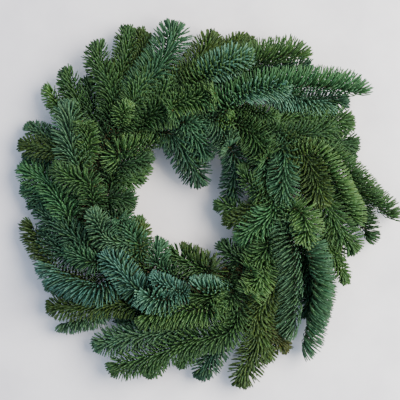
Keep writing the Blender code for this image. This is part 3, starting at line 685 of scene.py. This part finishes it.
def needle_set(s, rng):
    """Centre lines, facings and tints of every needle on a shoot.

    A needle leaves the twig outwards and bends over to the side that the shoot's needles lean to,
    those from underneath round its edges, so that both sides of the brush have an even outline.
    """
    line = s["fine"]
    along = lengths_along(line)
    total = along[-1]
    comb = abs(s["brush"])
    forward, dorsal, side = carried_frames(line)
    roll = math.radians(BRUSH_ANGLE * s["brush"])
    lean = math.cos(roll) * dorsal + math.sin(roll) * side
    first = BARE_STEM if s["fork"] is None else BARE_FORK
    base = along[int(np.argmin(np.linalg.norm(line - s["base"], axis=1)))]
    seen_from = max(base - SEEN_BEFORE, first)
    at, turn = needle_places(first, seen_from, total, comb, rng)
    ahead = unit_rows(sampled(forward, along, at))
    up = unit_rows(sampled(lean, along, at))
    frame = (ahead, up, np.cross(ahead, up))
    tip = (1 - COMB_TIP * comb) * near_tip(at, total)[:, None]
    inner = needle_way(INNER_WAY, turn, tip, comb, frame, rng)
    outer = needle_way(OUTER_WAY, turn, tip, comb, frame, rng)
    length = needle_lengths(s["width"], comb, at - first, turn, tip[:, 0], rng)[:, None]
    out = fanned(turn, *frame[1:])
    roots = sampled(line, along, at) + ROOT_PLACE * twig_radius(s, at, total)[:, None] * out
    middles = roots + INNER_SHARE * length * inner
    tips = middles + OUTER_SHARE * length * outer
    facing = up + FACING_OUT * out + FACING_NOISE * rng.normal(0, 1, (len(at), 3))
    return bent_path(roots, middles, tips), facing, needle_tints(s, at, seen_from, rng)


def needle_tints(s, at, seen_from, rng):
    """A root, middle and tip colour for each needle, drawn round its shoot's tone, with painted shade:
    where the shoot lies hidden under other sprays its needles blend towards a dark tone.
    """
    count = len(at)
    tone = np.array([linear(c) for c in TONES[s["tone"]]])
    painted_shade = np.array([linear(c) for c in TONES[PAINTED_SHADE_TONE]])
    shown = smooth_step((at - seen_from + SEEN_FADE / 2) / SEEN_FADE)[:, None, None]
    # painted shade: needles under other sprays blend from the dark tone into the shoot's own tone
    tints = painted_shade[None] + shown * (tone - painted_shade)[None]
    odd_tone = np.array([linear(c) for c in TONES[ODD_TONE]])
    odd = (rng.random(count) < ODD_SHARE)[:, None, None] * ODD_BLEND * shown
    tints = tints + odd * (odd_tone[None] - tints)
    bright = np.exp(rng.normal(0, BRIGHT_NOISE, count))[:, None, None]
    warm = rng.normal(0, WARM_NOISE, count)
    shift = np.stack((1 + warm, np.ones(count), 1 - warm), axis=1)[:, None, :]
    return np.clip(tints * bright * shift, DARKEST, LIGHTEST)


def clear_of_ring(points):
    """Moves points out of the straw roll and up off the surface."""
    flat = points.reshape(-1, 3)
    gap, way = roll_gap(flat)
    flat = flat + np.maximum(0, NEEDLE_CLEAR - gap)[:, None] * way
    flat[:, 2] = np.maximum(flat[:, 2], LOWEST_NEEDLE)
    return flat.reshape(points.shape)


def needle_geometry(path, facing, tints):
    """Corners, triangles and tints of tapered needles, each a bent prism that ends in a point."""
    count, stations = path.shape[0], len(NEEDLE_STATIONS)
    path = clear_of_ring(path)
    ahead = unit_rows(np.gradient(path, axis=1))[:, :stations]
    across = unit_rows(np.cross(ahead, facing[:, None, :]))
    above = np.cross(across, ahead)
    taper = np.array(NEEDLE_TAPER)[None, :, None]
    rings = []
    for wide, thick in NEEDLE_SECTION:
        offset = wide * NEEDLE_WIDTH * across + thick * NEEDLE_THICKNESS * above
        rings.append(path[:, :stations] + taper * offset)
    body = np.stack(rings, axis=2).reshape(count, stations * NEEDLE_SIDES, 3)
    corners = np.concatenate((body, path[:, stations:stations + 1]), axis=1)
    corners[:, :, 2] = np.maximum(corners[:, :, 2], LOWEST_CORNER)
    shares = np.repeat(np.array(NEEDLE_STATIONS + (1.0,)), [NEEDLE_SIDES] * stations + [1])
    low = np.clip(shares * 2, 0, 1)[None, :, None]
    high = np.clip(shares * 2 - 1, 0, 1)[None, :, None]
    # partly painted shade: each needle runs from its darker root, where the needles crowd at the twig, to
    # its paler tip
    colours = tints[:, :1] + low * (tints[:, 1:2] - tints[:, :1]) + high * (tints[:, 2:] - tints[:, 1:2])
    return corners.reshape(-1, 3), needle_faces(count, stations), colours.reshape(-1, 3)


def needle_faces(count, stations):
    """Triangles of one needle, repeated for the others."""
    one = []
    for station in range(stations - 1):
        for corner in range(NEEDLE_SIDES):
            low = station * NEEDLE_SIDES
            beside = (corner + 1) % NEEDLE_SIDES
            one.append((low + corner, low + NEEDLE_SIDES + corner, low + beside))
            one.append((low + beside, low + NEEDLE_SIDES + corner, low + NEEDLE_SIDES + beside))
    last = (stations - 1) * NEEDLE_SIDES
    point = stations * NEEDLE_SIDES
    for corner in range(NEEDLE_SIDES):
        one.append((last + corner, point, last + (corner + 1) % NEEDLE_SIDES))
    step = point + 1
    return (np.array(one)[None] + step * np.arange(count)[:, None, None]).reshape(-1, 3)


def tube_geometry(line, radii, sides, rng, rough=0.0):
    """Corners and triangles of a round tube along an open line, with small bumps if asked."""
    forward, dorsal, side = carried_frames(line)
    turns = np.linspace(0, 2 * math.pi, sides, endpoint=False)
    ways = np.cos(turns)[None, :, None] * dorsal[:, None] + np.sin(turns)[None, :, None] * side[:, None]
    bumps = 1 + rough * rng.normal(0, 1, (len(line), sides, 1))
    corners = line[:, None] + radii[:, None, None] * bumps * ways
    corners = np.concatenate((corners.reshape(-1, 3), line[:1], line[-1:]))
    faces = []
    rows = len(line)
    for corner in range(sides):
        beside = (corner + 1) % sides
        low = np.arange(rows - 1) * sides
        faces.append(np.stack((low + corner, low + beside, low + sides + corner), axis=1))
        faces.append(np.stack((low + beside, low + sides + beside, low + sides + corner), axis=1))
        start, stop = rows * sides, rows * sides + 1
        last = (rows - 1) * sides
        faces.append(np.array([(beside, corner, start), (last + corner, last + beside, stop)]))
    return corners, np.concatenate(faces)


def twig_geometry(s, rng):
    line = even_steps(s["line"], TWIG_STEP)
    lengths = lengths_along(line)
    radii = twig_radius(s, lengths, lengths[-1])
    return tube_geometry(line, radii, TWIG_SIDES, rng, BARK_ROUGH)


def bud_geometry(s, rng):
    """A resting bud at the tip of a shoot, with two small ones beside it."""
    line = s["fine"]
    forward, dorsal, side = carried_frames(line)
    parts = []
    for lean, size in BUDS:
        way = unit(forward[-1] + lean * side[-1] + rng.normal(0, BUD_NOISE, 3))
        root = line[-1] - BUD_SUNK * forward[-1] + lean * BUD_APART * side[-1]
        steps = root + np.outer(BUD_PLACES, way) * size * BUD_SIZE
        radii = np.array(BUD_RADII) * size * BUD_SIZE
        parts.append(tube_geometry(steps, radii, BUD_SIDES, rng, BUD_ROUGH))
    return joined(parts)


def joined(parts):
    """Several parts' corners and triangles as one."""
    corners, faces, start = [], [], 0
    for part_corners, part_faces in parts:
        corners.append(part_corners)
        faces.append(part_faces + start)
        start += len(part_corners)
    return np.concatenate(corners), np.concatenate(faces)


def solid_mesh(name, parts, materials, centre):
    """An object from (corners, triangles, tints or None) parts, one material for each part."""
    corners, faces, tints, slots, start = [], [], [], [], 0
    for number, (part_corners, part_faces, part_tints) in enumerate(parts):
        corners.append(part_corners)
        faces.append(part_faces + start)
        blank = np.ones((len(part_corners), 3))
        tints.append(blank if part_tints is None else part_tints)
        slots.append(np.full(len(part_faces), number))
        start += len(part_corners)
    corners = np.concatenate(corners) * METRES + centre
    faces = np.concatenate(faces)
    mesh = bpy.data.meshes.new(name)
    mesh.vertices.add(len(corners))
    mesh.vertices.foreach_set("co", corners.astype(np.float32).ravel())
    mesh.loops.add(faces.size)
    mesh.loops.foreach_set("vertex_index", faces.astype(np.int32).ravel())
    mesh.polygons.add(len(faces))
    mesh.polygons.foreach_set("loop_start", np.arange(0, faces.size, 3, dtype=np.int32))
    mesh.polygons.foreach_set("material_index", np.concatenate(slots).astype(np.int32))
    mesh.update(calc_edges=True)
    tint = mesh.attributes.new("tint", "FLOAT_COLOR", "POINT")
    values = np.column_stack((np.concatenate(tints), np.ones(len(corners))))
    tint.data.foreach_set("color", values.astype(np.float32).ravel())
    mesh.shade_smooth()
    for material in materials:
        mesh.materials.append(material)
    item = bpy.data.objects.new(name, mesh)
    bpy.context.scene.collection.objects.link(item)
    return item


def new_material(name, roughness, specular=0.5):
    material = bpy.data.materials.new(name)
    material.use_nodes = True
    shader = material.node_tree.nodes["Principled BSDF"]
    shader.inputs["Roughness"].default_value = roughness
    shader.inputs["Specular IOR Level"].default_value = specular
    return material, material.node_tree, shader


def add_node(tree, kind, **values):
    """A node with its settings and the plain values of its inputs."""
    node = tree.nodes.new(kind)
    for key, value in values.items():
        if key in node.inputs:
            node.inputs[key].default_value = value
        else:
            setattr(node, key, value)
    return node


def noise_at(tree, scale, detail=3.0):
    place = add_node(tree, "ShaderNodeTexCoord")
    noise = add_node(tree, "ShaderNodeTexNoise", Scale=scale, Detail=detail)
    tree.links.new(place.outputs["Object"], noise.inputs["Vector"])
    return noise.outputs["Fac"]


def ramp(tree, factor, stops):
    """A colour ramp of (position, sRGB colour) stops."""
    node = tree.nodes.new("ShaderNodeValToRGB")
    elements = node.color_ramp.elements
    while len(elements) < len(stops):
        elements.new(0.5)
    for element, (position, colour) in zip(elements, stops):
        element.position = position
        element.color = (*linear(colour), 1)
    tree.links.new(factor, node.inputs["Fac"])
    return node.outputs["Color"]


def mixed(tree, factor, first, second, blend="MIX"):
    node = tree.nodes.new("ShaderNodeMix")
    node.data_type = "RGBA"
    node.blend_type = blend
    for socket, value in ((0, factor), (6, first), (7, second)):
        if isinstance(value, bpy.types.NodeSocket):
            tree.links.new(value, node.inputs[socket])
        else:
            node.inputs[socket].default_value = value
    return node.outputs[2]


def bumped(tree, shader, height, distance, strength=0.6):
    bump = add_node(tree, "ShaderNodeBump", Distance=distance, Strength=strength)
    tree.links.new(height, bump.inputs["Height"])
    tree.links.new(bump.outputs["Normal"], shader.inputs["Normal"])


def needle_material():
    """Waxy needles: the tint of each, with pale wax that has rubbed off in patches."""
    material, tree, shader = new_material("fir_needle", roughness=0.55, specular=0.2)
    tint = add_node(tree, "ShaderNodeAttribute", attribute_name="tint")
    patches = noise_at(tree, scale=420.0)
    wax = ramp(tree, patches, ((0.42, (0, 0, 0)), (0.62, (255, 255, 255))))
    pale = mixed(tree, 0.1, tint.outputs["Color"], (*linear((150, 190, 160)), 1))
    colour = mixed(tree, wax, tint.outputs["Color"], pale)
    tree.links.new(colour, shader.inputs["Base Color"])
    return material


def bark_material():
    """Brown-green bark of young twigs."""
    material, tree, shader = new_material("fir_bark", roughness=0.7, specular=0.3)
    noise = noise_at(tree, scale=380.0, detail=5.0)
    colour = ramp(tree, noise, ((0.3, (28, 28, 12)), (0.5, (46, 46, 20)), (0.7, (66, 64, 34))))
    tree.links.new(colour, shader.inputs["Base Color"])
    bumped(tree, shader, noise, distance=0.0004)
    return material


def bud_material():
    """Resinous bud scales."""
    material, tree, shader = new_material("fir_bud", roughness=0.42)
    noise = noise_at(tree, scale=900.0, detail=4.0)
    colour = ramp(tree, noise, ((0.35, (60, 52, 24)), (0.6, (98, 86, 42)), (0.75, (128, 114, 66))))
    tree.links.new(colour, shader.inputs["Base Color"])
    bumped(tree, shader, noise, distance=0.0003)
    return material


def straw_material():
    """Dry straw, each straw in its own tint."""
    material, tree, shader = new_material("pressed_straw", roughness=0.72, specular=0.3)
    tint = add_node(tree, "ShaderNodeAttribute", attribute_name="tint")
    noise = noise_at(tree, scale=260.0, detail=4.0)
    colour = ramp(tree, noise, ((0.3, (150, 118, 66)), (0.5, (196, 168, 110)), (0.72, (224, 204, 152))))
    tinted = mixed(tree, 1.0, colour, tint.outputs["Color"], "MULTIPLY")
    tree.links.new(tinted, shader.inputs["Base Color"])
    bumped(tree, shader, noise, distance=0.0004)
    return material


def wire_material():
    """Green lacquered wire."""
    material, tree, shader = new_material("green_lacquer", roughness=0.35)
    colour = ramp(tree, noise_at(tree, scale=300.0), ((0.35, (26, 58, 32)), (0.7, (40, 82, 46))))
    tree.links.new(colour, shader.inputs["Base Color"])
    return material


def plaster_material():
    """Pale painted plaster: cloudy, with small brushed dents, and with painted light that makes it lighter
    towards the window.
    """
    material, tree, shader = new_material("pale_plaster", roughness=0.85, specular=0.25)
    place = add_node(tree, "ShaderNodeTexCoord")
    parts = add_node(tree, "ShaderNodeSeparateXYZ")
    tree.links.new(place.outputs["Object"], parts.inputs["Vector"])
    across = add_node(tree, "ShaderNodeMapRange")
    tree.links.new(parts.outputs["X"], across.inputs["Value"])
    across.inputs["From Min"].default_value = -SHADE_REACH
    across.inputs["From Max"].default_value = SHADE_REACH
    # painted light: lighter towards the window in the east and darker away from it, as the light falls off
    # across the surface
    wide = ramp(tree, across.outputs["Result"], ((0.0, (231, 227, 228)), (1.0, (249, 247, 246))))
    cloudy = noise_at(tree, scale=14.0, detail=8.0)
    clouds = ramp(tree, cloudy, ((0.34, (241, 240, 242)), (0.62, (255, 255, 255))))
    tree.links.new(mixed(tree, 1.0, wide, clouds, "MULTIPLY"), shader.inputs["Base Color"])
    dents = noise_at(tree, scale=38.0, detail=6.0)
    bumped(tree, shader, dents, distance=0.0015, strength=0.35)
    return material


def roll_surface(clock, around, lift):
    """A point on the pressed straw roll, pulled in at each turn of the wire, flat underneath."""
    phase = (clock - FIRST_GROOVE + PITCH / 2) % PITCH - PITCH / 2
    pulled = GROOVE_DEPTH * math.exp(-(phase / GROOVE_SPREAD) ** 2)
    place = clock_point(clock, around, ROLL_RADIUS - ROLL_UNDER - pulled + lift)
    place[2] = max(place[2], STRAW_CLEAR + lift)
    return place


def roll_faces():
    """Triangles of the closed roll, whose corners are numbered round the section, row by row."""
    low = np.arange(ROLL_ROWS) * ROLL_CORNERS
    high = (np.arange(ROLL_ROWS) + 1) % ROLL_ROWS * ROLL_CORNERS
    faces = []
    for corner in range(ROLL_CORNERS):
        beside = (corner + 1) % ROLL_CORNERS
        faces.append(np.stack((low + corner, high + corner, low + beside), axis=1))
        faces.append(np.stack((low + beside, high + corner, high + beside), axis=1))
    return np.concatenate(faces)


def straw_geometry(rng):
    """One straw, which follows the roll's surface from a random place."""
    clock = rng.uniform(0, 360)
    around = rng.uniform(-180, 180)
    length = rng.uniform(*STRAW_LENGTHS)
    slant = rng.normal(0, STRAW_SLANT)
    lift = STRAW_LIFT + LIFT_RANGE * rng.random()
    steps = np.linspace(0, 1, STRAW_POINTS)
    line = np.array([roll_surface(clock + length * t, around + slant * t, lift) for t in steps])
    radii = np.full(len(line), rng.uniform(*STRAW_RADII))
    return tube_geometry(line, radii, STRAW_SIDES, rng)


def straw_parts(rng):
    """The roll and the straws that lie round it."""
    clocks = np.linspace(0, 360, ROLL_ROWS, endpoint=False)
    arounds = np.linspace(-180, 180, ROLL_CORNERS, endpoint=False)
    corners = np.array([roll_surface(c, a, 0.0) for c in clocks for a in arounds])
    straws, tints = [], []
    for _ in range(STRAWS):
        straws.append(straw_geometry(rng))
        tints.append(np.full((len(straws[-1][0]), 3), rng.uniform(*STRAW_TINTS)))
    straw_corners, straw_faces = joined(straws)
    return [(corners, roll_faces(), np.full((len(corners), 3), ROLL_TINT)),
            (straw_corners, straw_faces, np.concatenate(tints))]


def wire_geometry(wire, rng):
    """The wire along its closed line, kept clear of the surface under the ring."""
    closed = smooth_line(np.vstack((wire[-1:], wire, wire[:2])), WIRE_STEP)
    gaps = np.linalg.norm(closed - wire[0], axis=1)
    start = int(np.argmin(gaps[:CLOSING_SAMPLES]))
    stop = len(closed) - 1 - int(np.argmin(gaps[::-1][:CLOSING_SAMPLES]))
    line = closed[start:stop + 1]
    line[:, 2] = np.maximum(line[:, 2], WIRE_RADIUS)
    return tube_geometry(line, np.full(len(line), WIRE_RADIUS), WIRE_SIDES, rng)


def add_side_shoots(shoots):
    """Grows the further side shoots from the first shoots of their sprays."""
    mains = {s["spray"]: s["line"] for s in shoots if s["fork"] is None}
    for number, side in SIDE_SHOOTS:
        main = mains[number - 1]
        fork = fork_index(main, side["places"][0])
        line = shoot_line([main[fork]] + side["places"])
        shoots.append(dict(side, spray=number - 1, line=line, fork=(None, fork), base=line[0]))


def make_sprays(shoots, materials, centre):
    """One piece for each spray, which stands for its solid."""
    for number in range(len(SPRAYS)):
        rng = np.random.default_rng(SEED + number)
        own = [s for s in shoots if s["spray"] == number]
        sets = [needle_set(s, rng) for s in own]
        path, facing, tints = (np.concatenate(part) for part in zip(*sets))
        twigs = joined([twig_geometry(s, rng) for s in own])
        buds = joined([bud_geometry(s, rng) for s in own])
        parts = [needle_geometry(path, facing, tints), (*twigs, None), (*buds, None)]
        piece = solid_mesh(f"fir_foliage_{number + 1:02d}", parts, materials, centre)
        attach(piece, "root")
        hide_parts(f"fir_spray_{number + 1:02d}")


def make_ring(wire, centre):
    """The straw roll and the wire wound round it."""
    rng = np.random.default_rng(SEED)
    straw = straw_material()
    roll = solid_mesh("straw_roll", straw_parts(rng), (straw, straw), centre)
    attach(roll, "root")
    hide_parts("straw_ring")
    wound = solid_mesh("wound_wire", [(*wire_geometry(wire, rng), None)], (wire_material(),), centre)
    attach(wound, "root")
    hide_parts("binding_wire")


def make_floor():
    bpy.ops.mesh.primitive_plane_add(size=FLOOR_SIZE, location=(0, 0, 0))
    floor = bpy.context.object
    floor.name = "plaster_surface"
    floor.data.materials.append(plaster_material())


def area_light(name, place, size, power, colour, target):
    data = bpy.data.lights.new(name, "AREA")
    data.shape = "DISK"
    data.size = size
    data.energy = power
    data.color = colour
    light = bpy.data.objects.new(name, data)
    light.location = place
    way = Vector(np.array(target) - np.array(place))
    light.rotation_euler = way.to_track_quat("-Z", "Y").to_euler()
    bpy.context.scene.collection.objects.link(light)


def make_lights(target):
    """A cool, even room and one wide, warm window."""
    world = bpy.data.worlds.new("soft_room")
    world.use_nodes = True
    background = world.node_tree.nodes["Background"]
    background.inputs["Color"].default_value = (*WORLD_COLOUR, 1)
    background.inputs["Strength"].default_value = WORLD_STRENGTH
    bpy.context.scene.world = world
    clock, rise = math.radians(KEY_CLOCK), math.radians(KEY_RISE)
    way = np.array((math.sin(clock) * math.cos(rise), math.cos(clock) * math.cos(rise),
                    math.sin(rise)))
    area_light("window", target + KEY_DISTANCE * way, KEY_SIZE, KEY_POWER, KEY_COLOUR, target)


def make_camera(target):
    """Straight above, so that the photograph's 400 pixels span VIEW_WIDTH at the foliage."""
    data = bpy.data.cameras.new("camera")
    data.sensor_width = SENSOR_WIDTH
    data.lens = SENSOR_WIDTH * CAMERA_HEIGHT / VIEW_WIDTH
    camera = bpy.data.objects.new("camera", data)
    camera.location = target + np.array((0, 0, CAMERA_HEIGHT))
    bpy.context.scene.collection.objects.link(camera)
    bpy.context.scene.camera = camera


def main():
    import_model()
    low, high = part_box("straw_ring")
    centre = np.array(((low[0] + high[0]) / 2, (low[1] + high[1]) / 2, 0))
    wire = wire_line()
    shoots = first_lines()
    part_lines(shoots, even_steps(np.vstack((wire, wire[:1])), FINE_STEP))
    add_side_shoots(shoots)
    for s in shoots:
        s["fine"] = even_steps(s["line"], FINE_STEP)
    make_sprays(shoots, (needle_material(), bark_material(), bud_material()), centre)
    make_ring(wire, centre)
    make_floor()
    target = centre + np.array((*(METRES * np.array(VIEW_CENTRE)), METRES * VIEW_PLANE))
    make_lights(target)
    make_camera(target)
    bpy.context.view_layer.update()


main()
